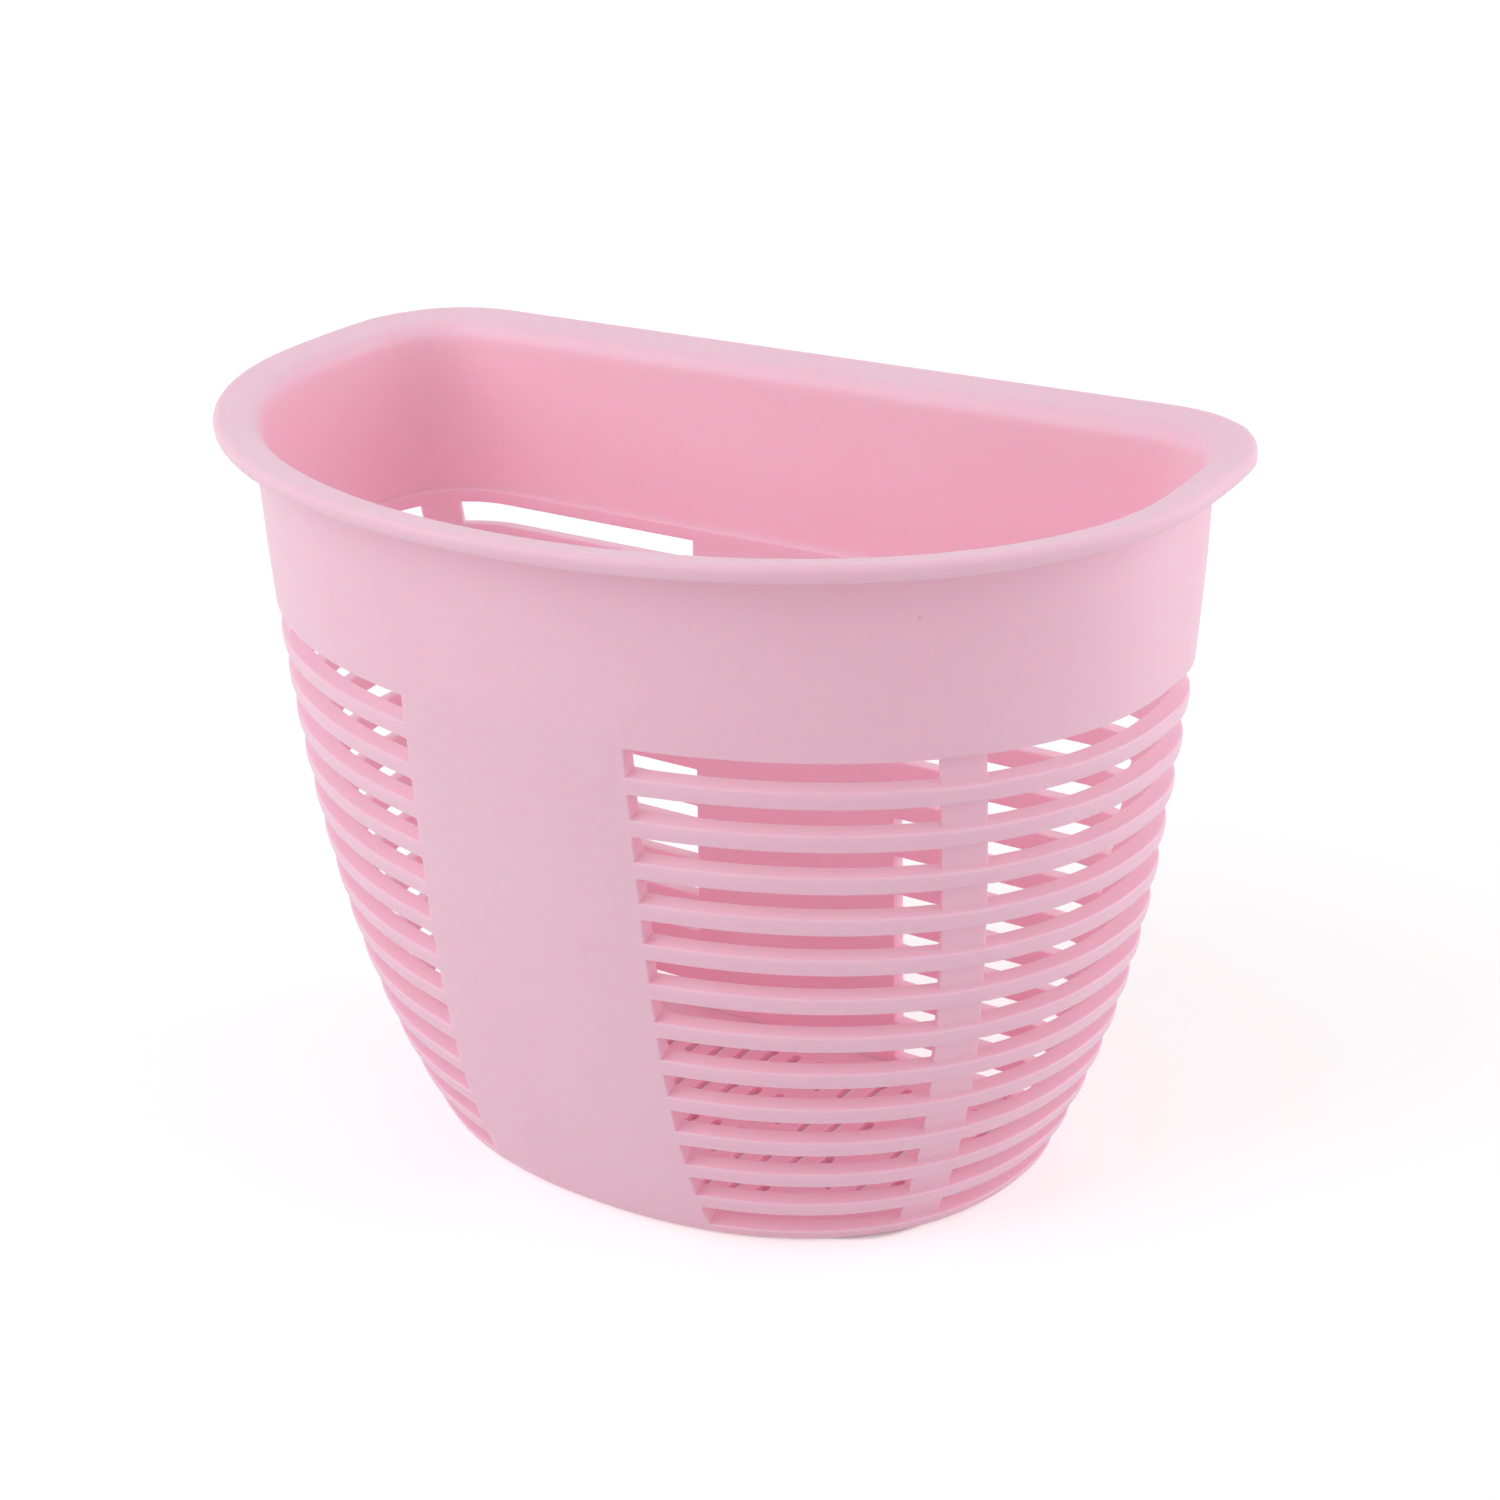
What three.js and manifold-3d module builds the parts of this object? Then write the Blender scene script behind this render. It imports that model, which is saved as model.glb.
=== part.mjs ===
// A half-round slotted storage basket with a flat back and a flared rim, moulded in one pink plastic.
// Millimetres, +Z up, +X to the basket's right, the flat back towards +Y.
// The wall is drawn from its outline seen from above: half an ellipse in front, an ellipse's sides
// behind the widest line, two rounded corners and a straight back. An inset moves the outline inwards.
import * as THREE from "three";
import { mergeVertices } from "three/addons/utils/BufferGeometryUtils.js";
import Module from "manifold-3d";

// Overall sizes
const rimWidth = 250;
const rimFrontReach = 83.6;
const rimBackReach = 48.8;
const basketHeight = 172.9;

// Rim: a flange that flares outwards and up, with a rounded lip and a rounded mouth
const rimOverhang = 8.6;
const rimDepth = 12.9;
const lipHeight = 4.1;
const lipRadius = 1.2;
const mouthRadius = 5;
const rootRadius = 2;
const flangeAngle = THREE.MathUtils.degToRad(11);

// Wall: how far each side has moved in at the floor, and how late the bend comes
const sideDraft = 1.1;
const sideTaper = 35.1;
const sideTaperPower = 2.81;
const frontDraft = 0.3;
const frontTaper = 13.7;
const frontTaperPower = 5.5;
const backTaper = 14.6;
const frontSquareness = 0.2;
const sideDepthShare = 1.38;
const cornerRadius = 20.5;
const cornerGrowth = 24;
const cornerLimitShare = 0.95;
const wallThickness = 4.4;
const bandThickness = 2.3;

// Slotted zone
const bandDepth = 45.6;
const ledgeHeight = 2.8;
const firstSlotHeight = 6.6;
const slotCount = 13;
const ribHeight = 3.9;
const ribCrown = 0.3;
const baseHoopHeight = 3.4;
const baseEdge = 0.8;

// Solid panels and the upright bars between them
const frontPanelWidth = 60.4;
const backPanelWidth = 57.2;
const panelFlare = 1.1;
const stileWidth = 9.9;
const stileRecess = 1.6;
const stileFrontShare = 0.69;
const postWidth = 9.8;
const postBackShare = 0.715;

// Floor and its drain slots
const floorThickness = 2.2;
const drainWidth = 3;
const drainLength = 12;
const drainColumnPitch = 6.5;
const drainRowPitch = 17;
const drainMargin = 3;

// Fits
const fit = 0.3;
const cutOverrun = 1;

// Worked out from the sizes above. The upright bars stand on lines from the middle towards the rim.
const slotTop = basketHeight - bandDepth;
const firstRibTop = slotTop - firstSlotHeight;
const ribPitch = (firstRibTop - baseHoopHeight) / (slotCount - 1);
const rimSeam = basketHeight - rimDepth;
const ribCount = slotCount - 1;
const stileLine = new THREE.Vector2(rimWidth / 2, -rimFrontReach * stileFrontShare);
const postLine = new THREE.Vector2(rimWidth / 2, rimBackReach * postBackShare);

// How many straight steps each stretch of the outline has
const coarseSteps = { front: 14, side: 2, corner: 7, back: 1 };
const fineSteps = { front: 60, side: 20, corner: 20, back: 2 };
const heightSteps = 13;
const arcSteps = 3;

// The wall's outline at a height: its half width, its reaches and how it is rounded.
function outlineAt(z, inset) {
  const drop = (basketHeight - z) / basketHeight;
  const side = sideDraft * drop + sideTaper * drop ** sideTaperPower;
  const front = frontDraft * drop + frontTaper * drop ** frontTaperPower;
  const halfWidth = rimWidth / 2 - rimOverhang - side - inset;
  const back = rimBackReach - rimOverhang - backTaper * drop;
  return {
    halfWidth,
    front: rimFrontReach - rimOverhang - front - inset,
    back: back - inset,
    sideDepth: halfWidth * sideDepthShare,
    corner: Math.min(cornerRadius + cornerGrowth * drop, back * cornerLimitShare) - inset,
    power: 2 + frontSquareness * drop,
  };
}

// Where the side's ellipse hands over to the corner's arc, as the ellipse's own angle.
function cornerStart(outline) {
  const { halfWidth, back, sideDepth, corner } = outline;
  const centreHeight = back - corner;
  let low = 0;
  let high = Math.PI / 2;
  for (let step = 0; step < 40; step++) {
    const angle = (low + high) / 2;
    const normal = ellipseNormal(halfWidth, sideDepth, angle);
    if (sideDepth * Math.sin(angle) - corner * normal.y < centreHeight) low = angle;
    else high = angle;
  }
  return low;
}

function ellipseNormal(halfWidth, depth, angle) {
  return new THREE.Vector2(Math.cos(angle) / halfWidth, Math.sin(angle) / depth).normalize();
}

// The right half of the outline, from frontX on the front, round the corner, to backX on the back.
function halfOutline(z, inset, frontX, backX, steps = coarseSteps) {
  const outline = outlineAt(z, inset);
  const { halfWidth, front, back, sideDepth, corner, power } = outline;
  const points = [];
  const frontAngle = Math.acos((frontX / halfWidth) ** (power / 2));
  for (let i = 0; i <= steps.front; i++) {
    const angle = frontAngle * (1 - i / steps.front);
    const x = halfWidth * Math.cos(angle) ** (2 / power);
    points.push(new THREE.Vector2(x, -front * Math.sin(angle) ** (2 / power)));
  }
  const end = cornerStart(outline);
  for (let i = 1; i <= steps.side; i++) {
    const angle = (end * i) / steps.side;
    points.push(new THREE.Vector2(halfWidth * Math.cos(angle), sideDepth * Math.sin(angle)));
  }
  const normal = ellipseNormal(halfWidth, sideDepth, end);
  const centre = points.at(-1).clone().addScaledVector(normal, -corner);
  for (let i = 1; i <= steps.corner; i++) {
    const angle = THREE.MathUtils.lerp(normal.angle(), Math.PI / 2, i / steps.corner);
    points.push(new THREE.Vector2(Math.cos(angle), Math.sin(angle)).multiplyScalar(corner).add(centre));
  }
  for (let i = 1; i <= steps.back; i++) {
    points.push(new THREE.Vector2(THREE.MathUtils.lerp(centre.x, backX, i / steps.back), back));
  }
  return points;
}

function wholeOutline(z, inset) {
  const right = halfOutline(z, inset, 0, 0);
  const left = right.slice(1, -1).reverse();
  return [...right, ...left.map((p) => new THREE.Vector2(-p.x, p.y))];
}

// Where a line from start crosses an outline on its way out, and the directions along and out of it there.
function crossing(outline, start, direction) {
  const side = (p) => direction.cross(p.clone().sub(start));
  const next = outline.findIndex((p, i) => i > 0 && side(p) >= 0 && side(outline[i - 1]) < 0);
  const [from, to] = [outline[next - 1], outline[next]];
  const along = to.clone().sub(from).normalize();
  return {
    point: from.clone().lerp(to, side(from) / (side(from) - side(to))),
    along,
    normal: new THREE.Vector2(along.y, -along.x),
  };
}

function arc(centreInset, centreZ, radius, from, to, steps = arcSteps) {
  return Array.from({ length: steps + 1 }, (_, i) => {
    const angle = THREE.MathUtils.lerp(from, to, i / steps);
    return [centreInset + radius * Math.cos(angle), centreZ + radius * Math.sin(angle)];
  });
}

// Joins like rings of points into one closed surface. Without an end outline the last ring meets the first.
function loft(rings, endOutline) {
  const count = rings[0].length;
  const faces = [];
  const spans = endOutline ? rings.length - 1 : rings.length;
  for (let j = 0; j < spans; j++) {
    const near = j * count;
    const far = ((j + 1) % rings.length) * count;
    for (let i = 0; i < count; i++) {
      const k = (i + 1) % count;
      faces.push(near + i, near + k, far + k, near + i, far + k, far + i);
    }
  }
  if (endOutline) {
    const last = (rings.length - 1) * count;
    for (const [a, b, c] of THREE.ShapeUtils.triangulateShape(endOutline, [])) {
      faces.push(a, c, b, last + a, last + b, last + c);
    }
  }
  const points = rings.flat();
  if (signedVolume(points, faces) < 0) faces.reverse();
  const geometry = new THREE.BufferGeometry().setFromPoints(points);
  geometry.setIndex(faces);
  geometry.computeVertexNormals();
  return geometry;
}

function signedVolume(points, faces) {
  let sum = 0;
  for (let i = 0; i < faces.length; i += 3) {
    const [a, b, c] = [points[faces[i]], points[faces[i + 1]], points[faces[i + 2]]];
    sum += a.dot(b.clone().cross(c));
  }
  return sum;
}

const at = (point, z) => new THREE.Vector3(point.x, point.y, z);

// A ring right round the basket, from a closed profile of insets and heights. A third number is the
// height whose outline the point follows, where that isn't its own.
function hoop(profile) {
  return loft(
    profile.map(([inset, z, outlineZ = z]) => wholeOutline(outlineZ, inset).map((p) => at(p, z))),
  );
}

// Rim
function rimFlange() {
  const slope = Math.tan(flangeAngle);
  const lipCentre = lipRadius - rimOverhang;
  const upperFace = (inset) => basketHeight - (inset - lipCentre) * slope;
  const lowerFace = (inset) => upperFace(inset) - lipHeight;
  const flangeNormal = Math.PI / 2 - flangeAngle;
  const rootCentre = lowerFace(-rootRadius) - rootRadius / Math.cos(flangeAngle);
  const mouthCentre = bandThickness - mouthRadius;
  const mouthZ = upperFace(mouthCentre) - mouthRadius / Math.cos(flangeAngle);
  const lip = [
    ...arc(lipCentre, basketHeight - lipHeight + lipRadius, lipRadius, -Math.PI / 2, -Math.PI),
    ...arc(lipCentre, basketHeight - lipRadius, lipRadius, Math.PI, Math.PI / 2),
  ];
  return hoop([
    [0, rimSeam],
    ...arc(-rootRadius, rootCentre, rootRadius, 0, flangeNormal),
    ...lip.map(([inset, z]) => [inset, z, basketHeight]),
    ...arc(mouthCentre, mouthZ, mouthRadius, flangeNormal, 0),
    [bandThickness, rimSeam],
  ]);
}

// Solid band between the rim and the first slot, thicker below the ledge inside
function upperBand() {
  const middle = (slotTop + rimSeam) / 2;
  return hoop([
    [0, slotTop],
    [wallThickness, slotTop],
    [wallThickness, slotTop + ledgeHeight],
    [bandThickness, slotTop + ledgeHeight],
    [bandThickness, middle],
    [bandThickness, rimSeam],
    [0, rimSeam],
    [0, middle],
  ]);
}

// Lowest hoop, which stands on the table
function baseHoop() {
  return hoop([
    [baseEdge, 0],
    [wallThickness, 0],
    [wallThickness, baseHoopHeight],
    [0, baseHoopHeight],
    [0, baseEdge],
  ]);
}

const levels = (steps) =>
  Array.from({ length: steps + 1 }, (_, i) => THREE.MathUtils.lerp(baseHoopHeight, slotTop, i / steps));

// A panel's half width grows a little towards the floor.
const panelHalf = (width, z) => width / 2 + (panelFlare * (slotTop - z)) / slotTop;

function frontPanel() {
  const columns = 8;
  const row = (z, inset) => {
    const { halfWidth, front, power } = outlineAt(z, inset);
    const half = panelHalf(frontPanelWidth, z);
    return Array.from({ length: columns + 1 }, (_, i) => {
      const x = half * ((2 * i) / columns - 1);
      return new THREE.Vector2(x, -front * (1 - (Math.abs(x) / halfWidth) ** power) ** (1 / power));
    });
  };
  const ring = (z) => [...row(z, 0), ...row(z, wallThickness).reverse()];
  return loft(levels(heightSteps).map((z) => ring(z).map((p) => at(p, z))), ring(baseHoopHeight));
}

function backPanel() {
  const ring = (z) => {
    const half = panelHalf(backPanelWidth, z);
    const outer = outlineAt(z, 0).back;
    const inner = outlineAt(z, wallThickness).back;
    return [
      new THREE.Vector2(-half, inner),
      new THREE.Vector2(half, inner),
      new THREE.Vector2(half, outer),
      new THREE.Vector2(-half, outer),
    ];
  };
  return loft(levels(1).map((z) => ring(z).map((p) => at(p, z))), ring(baseHoopHeight));
}

// An upright bar in the wall, its section cut level. Margin swells it into the tool that notches the hoops.
function uprightBar(line, width, margin = 0) {
  const overrun = margin ? cutOverrun : 0;
  const heights = levels(heightSteps);
  heights[0] -= overrun;
  heights[heights.length - 1] += overrun;
  const section = (z) => {
    const outer = halfOutline(z, stileRecess - margin, 0, 0, fineSteps);
    const inner = halfOutline(z, wallThickness + overrun, 0, 0, fineSteps);
    const { point, along, normal } = crossing(outer, new THREE.Vector2(), line);
    const start = point.clone().addScaledVector(normal, -wallThickness);
    const onto = (outline, side) =>
      crossing(outline, start.clone().addScaledVector(along, side * (width / 2 + margin)), normal).point;
    return [...[-1, 0, 1].map((side) => onto(outer, side)), ...[1, 0, -1].map((side) => onto(inner, side))];
  };
  return loft(heights.map((z) => section(z).map((p) => at(p, z))), section(heights[0]));
}

// A rib runs from the front panel round the side to the back panel.
function ribHoop(top) {
  const profile = [
    [wallThickness, top - ribHeight],
    [wallThickness, top],
  ];
  for (const share of [0, 0.25, 0.75, 1]) {
    profile.push([ribCrown * (2 * share - 1) ** 2, top - ribHeight * share]);
  }
  const lines = profile.map(([inset, z]) => {
    const frontX = panelHalf(frontPanelWidth, z) + fit;
    const backX = panelHalf(backPanelWidth, z) + fit;
    return halfOutline(z, inset, frontX, backX).map((p) => at(p, z));
  });
  const sections = lines[0].map((_, station) => lines.map((line) => line[station]));
  return loft(sections, profile.map(([inset, z]) => new THREE.Vector2(inset, z)));
}

// Floor, with rows of drain slots that run from front to back
function floorPlate() {
  const edge = wallThickness + fit;
  const shape = new THREE.Shape(wholeOutline(0, edge));
  const clear = wholeOutline(0, edge + drainMargin);
  const { halfWidth, front, back } = outlineAt(0, edge);
  const middle = (back - front) / 2;
  const columns = Math.floor(halfWidth / drainColumnPitch);
  const rows = Math.floor((front + back) / drainRowPitch);
  const straight = (drainLength - drainWidth) / 2;
  for (let column = -columns; column <= columns; column++) {
    for (let row = 0; row < rows; row++) {
      const x = column * drainColumnPitch;
      const y = middle + (row - (rows - 1) / 2) * drainRowPitch;
      const tips = [-1, 1].flatMap((side) => [
        new THREE.Vector2(x - drainWidth / 2, y + (side * drainLength) / 2),
        new THREE.Vector2(x + drainWidth / 2, y + (side * drainLength) / 2),
      ]);
      if (!tips.every((tip) => holds(clear, tip))) continue;
      const slot = new THREE.Path();
      slot.absarc(x, y + straight, drainWidth / 2, 0, Math.PI);
      slot.absarc(x, y - straight, drainWidth / 2, Math.PI, 2 * Math.PI);
      shape.holes.push(slot);
    }
  }
  return new THREE.ExtrudeGeometry(shape, {
    depth: floorThickness,
    bevelEnabled: false,
    curveSegments: arcSteps,
  });
}

// Whether a closed outline goes round a point, by counting the edges that a ray along +X meets.
function holds(outline, point) {
  let crossings = 0;
  outline.forEach((a, i) => {
    const b = outline[(i + 1) % outline.length];
    if (a.y > point.y === b.y > point.y) return;
    if (a.x + ((point.y - a.y) / (b.y - a.y)) * (b.x - a.x) > point.x) crossings += 1;
  });
  return crossings % 2 === 1;
}

// Solid joins and cuts
const wasm = await Module();
wasm.setup();

function toSolid(geometry) {
  const plain = geometry.clone();
  plain.deleteAttribute("normal");
  plain.deleteAttribute("uv");
  const merged = mergeVertices(plain);
  const vertProperties = new Float32Array(merged.attributes.position.array);
  const triVerts = new Uint32Array(merged.index.array);
  return new wasm.Manifold(new wasm.Mesh({ numProp: 3, vertProperties, triVerts }));
}

function toGeometry(solid) {
  const mesh = solid.getMesh();
  const geometry = new THREE.BufferGeometry();
  geometry.setAttribute("position", new THREE.BufferAttribute(mesh.vertProperties, 3));
  geometry.setIndex(new THREE.BufferAttribute(mesh.triVerts, 1));
  geometry.computeVertexNormals();
  return geometry;
}

const notchTool = toSolid(uprightBar(stileLine, stileWidth, fit)).add(
  toSolid(uprightBar(postLine, postWidth, fit)),
);

// The assembly: the front and back halves meet at the widest line, and the frame's origin is under the middle.
const basket = new THREE.Group();
basket.position.y = (rimFrontReach - rimBackReach) / 2;
const rightSide = new THREE.Group();
const leftSide = new THREE.Group();
leftSide.scale.x = -1;
basket.add(rightSide, leftSide);

// Every piece is moulded in the same plastic, and keeps a material of its own.
function addPiece(group, name, geometry) {
  const material = new THREE.MeshStandardMaterial({ color: "#efb6ca", roughness: 0.42, metalness: 0 });
  const mesh = new THREE.Mesh(geometry, material);
  mesh.name = name;
  group.add(mesh);
}

function addToBothSides(name, number, geometry) {
  addPiece(rightSide, `${name}_right${number}`, geometry);
  addPiece(leftSide, `${name}_left${number}`, geometry);
}

addPiece(basket, "rim_flange", rimFlange());
addPiece(basket, "upper_band", upperBand());
addPiece(basket, "front_panel", frontPanel());
addPiece(basket, "back_panel", backPanel());
addPiece(basket, "base_hoop", baseHoop());
addPiece(basket, "floor_plate", floorPlate());
addToBothSides("side_stile", "", uprightBar(stileLine, stileWidth));
addToBothSides("corner_post", "", uprightBar(postLine, postWidth));
for (let i = 0; i < ribCount; i++) {
  const rib = toSolid(ribHoop(firstRibTop - i * ribPitch)).subtract(notchTool);
  addToBothSides("rib", `_${String(i + 1).padStart(2, "0")}`, toGeometry(rib));
}

export default basket;
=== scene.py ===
"""A half-round slotted storage basket: one moulding in satin pale pink plastic, standing in a plain studio.

Each height of the wall has an outline seen from above, worked out from a few sizes. The moulding is one sheet
of faces that follows these outlines up the outside, over the rim and down the inside, with a window for each
slot. Subdivision then rounds its edges, as a mould does. Lengths are in metres, in the packed model's frame.
"""

import math
from bisect import bisect_left
from collections import namedtuple

import bpy
from bpy.props import FloatProperty, FloatVectorProperty, IntProperty, PointerProperty
from mathutils import Matrix, Vector


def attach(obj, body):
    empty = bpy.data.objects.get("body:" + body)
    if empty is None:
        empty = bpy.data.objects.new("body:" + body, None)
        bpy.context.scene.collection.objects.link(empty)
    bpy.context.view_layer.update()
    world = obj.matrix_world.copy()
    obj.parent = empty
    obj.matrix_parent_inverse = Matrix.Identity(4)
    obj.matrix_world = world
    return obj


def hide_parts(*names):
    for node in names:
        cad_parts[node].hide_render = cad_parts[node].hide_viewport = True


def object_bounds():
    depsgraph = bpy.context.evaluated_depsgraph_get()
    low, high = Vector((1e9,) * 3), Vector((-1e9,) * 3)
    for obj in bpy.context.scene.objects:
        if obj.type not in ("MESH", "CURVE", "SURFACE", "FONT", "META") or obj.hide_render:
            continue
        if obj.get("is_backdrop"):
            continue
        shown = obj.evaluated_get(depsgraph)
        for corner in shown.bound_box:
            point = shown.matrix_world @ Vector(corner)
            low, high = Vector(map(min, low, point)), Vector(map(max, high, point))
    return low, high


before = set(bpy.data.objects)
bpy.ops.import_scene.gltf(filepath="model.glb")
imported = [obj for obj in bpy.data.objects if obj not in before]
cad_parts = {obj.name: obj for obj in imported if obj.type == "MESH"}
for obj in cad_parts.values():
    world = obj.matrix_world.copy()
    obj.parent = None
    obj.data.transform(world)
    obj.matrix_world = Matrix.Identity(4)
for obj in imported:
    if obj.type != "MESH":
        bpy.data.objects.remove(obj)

bl_info = {
    "name": "Slotted Basket",
    "version": (1, 0, 0),
    "blender": (4, 5, 0),
    "location": "3D View > Sidebar > Basket",
    "description": "Builds a half-round slotted storage basket and a plain studio round it",
    "category": "Object",
}

CAD_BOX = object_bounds()
BODY = "root"


# Sizes and finishes that a user would change


class BasketOutline(bpy.types.PropertyGroup):
    """The basket's overall sizes, and how its wall draws in towards the floor."""

    rim_width: FloatProperty(
        name="Rim width", description="Across the rim from side to side", default=0.25, unit="LENGTH"
    )
    front_reach: FloatProperty(
        name="Front reach",
        description="From the widest line to the rim's front",
        default=0.0836,
        unit="LENGTH",
    )
    back_reach: FloatProperty(
        name="Back reach", description="From the widest line to the rim's back", default=0.0488, unit="LENGTH"
    )
    height: FloatProperty(
        name="Height", description="From the table to the top of the rim", default=0.1729, unit="LENGTH"
    )
    overhang: FloatProperty(
        name="Rim overhang",
        description="How far the rim stands out past the wall",
        default=0.0086,
        unit="LENGTH",
    )
    side_draft: FloatProperty(
        name="Side draft",
        description="How far the sides lean in, evenly with depth",
        default=0.0011,
        unit="LENGTH",
    )
    side_taper: FloatProperty(
        name="Side taper",
        description="How far the sides curve in towards the floor",
        default=0.0351,
        unit="LENGTH",
    )
    side_taper_power: FloatProperty(
        name="Side taper power", description="How late the sides curve in", default=2.81
    )
    front_draft: FloatProperty(
        name="Front draft",
        description="How far the front leans in, evenly with depth",
        default=0.0003,
        unit="LENGTH",
    )
    front_taper: FloatProperty(
        name="Front taper",
        description="How far the front curves in towards the floor",
        default=0.0137,
        unit="LENGTH",
    )
    front_taper_power: FloatProperty(
        name="Front taper power", description="How late the front curves in", default=5.5
    )
    back_taper: FloatProperty(
        name="Back taper", description="How far the flat back leans in", default=0.0146, unit="LENGTH"
    )
    front_squareness: FloatProperty(
        name="Front squareness",
        description="How much squarer than an ellipse the front is at the floor",
        default=0.2,
    )
    side_depth_share: FloatProperty(
        name="Side depth share",
        description="Depth of the sides' ellipse, as a share of the half width",
        default=1.38,
    )
    corner_radius: FloatProperty(
        name="Corner radius",
        description="Radius of the back corners at the rim",
        default=0.0205,
        unit="LENGTH",
    )
    corner_growth: FloatProperty(
        name="Corner growth",
        description="How much wider the corner radius is at the floor",
        default=0.024,
        unit="LENGTH",
    )
    corner_limit_share: FloatProperty(
        name="Corner limit", description="Largest corner radius, as a share of the back's reach", default=0.95
    )


class BasketWall(bpy.types.PropertyGroup):
    """The moulding's wall: its thickness, its slots and the bars between them."""

    thickness: FloatProperty(
        name="Wall thickness", description="Through the slotted wall", default=0.0044, unit="LENGTH"
    )
    band_thickness: FloatProperty(
        name="Band thickness",
        description="Through the solid band under the rim",
        default=0.0023,
        unit="LENGTH",
    )
    band_depth: FloatProperty(
        name="Band depth",
        description="From the top of the rim to the first slot",
        default=0.0456,
        unit="LENGTH",
    )
    ledge_height: FloatProperty(
        name="Ledge height",
        description="From the first slot up to the ledge inside",
        default=0.0028,
        unit="LENGTH",
    )
    first_slot: FloatProperty(
        name="First slot", description="Height of the first slot", default=0.0066, unit="LENGTH"
    )
    slot_count: IntProperty(
        name="Slot count", description="Slots from the band to the base", default=13
    )
    rib_height: FloatProperty(
        name="Rib height", description="Height of each rib between two slots", default=0.0039, unit="LENGTH"
    )
    rib_crown: FloatProperty(
        name="Rib crown",
        description="How far a rib's face stands proud of its edges",
        default=0.00028,
        unit="LENGTH",
    )
    rib_draft: FloatProperty(
        name="Rib draft",
        description="How far a slot draws in, above and below, on its way in",
        default=0.0006,
        unit="LENGTH",
    )
    crown_run: FloatProperty(
        name="Crown run",
        description="Length over which a rib's crown fades into a panel",
        default=0.005,
        unit="LENGTH",
    )
    base_hoop: FloatProperty(
        name="Base hoop", description="Height of the hoop under the last slot", default=0.0034, unit="LENGTH"
    )
    base_edge: FloatProperty(
        name="Base edge", description="Radius of the basket's lower edge", default=0.0014, unit="LENGTH"
    )
    front_panel: FloatProperty(
        name="Front panel", description="Width of the solid front panel", default=0.0604, unit="LENGTH"
    )
    back_panel: FloatProperty(
        name="Back panel", description="Width of the solid back panel", default=0.0572, unit="LENGTH"
    )
    panel_flare: FloatProperty(
        name="Panel flare",
        description="How much wider each half panel is at the floor",
        default=0.0011,
        unit="LENGTH",
    )
    stile_width: FloatProperty(
        name="Stile width",
        description="Width of the upright bars at the sides",
        default=0.0099,
        unit="LENGTH",
    )
    stile_front_share: FloatProperty(
        name="Stile place", description="Where the stiles aim, as a share of the front reach", default=0.69
    )
    post_width: FloatProperty(
        name="Post width",
        description="Width of the upright bars at the back corners",
        default=0.0116,
        unit="LENGTH",
    )
    post_back_share: FloatProperty(
        name="Post place", description="Where the posts aim, as a share of the back reach", default=0.695
    )
    upright_recess: FloatProperty(
        name="Upright recess",
        description="How far the upright bars lie behind the ribs",
        default=0.002,
        unit="LENGTH",
    )
    edge: FloatProperty(
        name="Edge softness",
        description="How far the rounding of each edge reaches",
        default=0.00045,
        unit="LENGTH",
    )


class BasketRim(bpy.types.PropertyGroup):
    """The flared rim, its lip and the drain floor."""

    slope: FloatProperty(
        name="Rim slope",
        description="How steeply the rim rises outwards",
        default=math.radians(11),
        subtype="ANGLE",
    )
    lip_height: FloatProperty(
        name="Lip height", description="Height of the lip's outer face", default=0.0041, unit="LENGTH"
    )
    lip_radius: FloatProperty(
        name="Lip radius", description="Radius of the lip's edges", default=0.0016, unit="LENGTH"
    )
    crease_depth: FloatProperty(
        name="Crease depth", description="Depth of the line inside the lip", default=0.00012, unit="LENGTH"
    )
    crease_width: FloatProperty(
        name="Crease width", description="Width of the line inside the lip", default=0.0007, unit="LENGTH"
    )
    mouth_radius: FloatProperty(
        name="Mouth radius",
        description="Radius where the rim turns down into the basket",
        default=0.005,
        unit="LENGTH",
    )
    root_radius: FloatProperty(
        name="Root radius",
        description="Radius where the rim meets the wall outside",
        default=0.002,
        unit="LENGTH",
    )
    floor_thickness: FloatProperty(
        name="Floor thickness", description="Through the floor", default=0.0022, unit="LENGTH"
    )
    drain_width: FloatProperty(
        name="Drain width", description="Width of each drain slot", default=0.0024, unit="LENGTH"
    )
    drain_length: FloatProperty(
        name="Drain length", description="Length of each drain slot", default=0.012, unit="LENGTH"
    )
    drain_columns: FloatProperty(
        name="Drain column pitch",
        description="Between drain slots, across the floor",
        default=0.0065,
        unit="LENGTH",
    )
    drain_rows: FloatProperty(
        name="Drain row pitch", description="Between rows of drain slots", default=0.017, unit="LENGTH"
    )
    drain_margin: FloatProperty(
        name="Drain margin",
        description="Solid floor between the drain slots and the wall",
        default=0.003,
        unit="LENGTH",
    )


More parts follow.
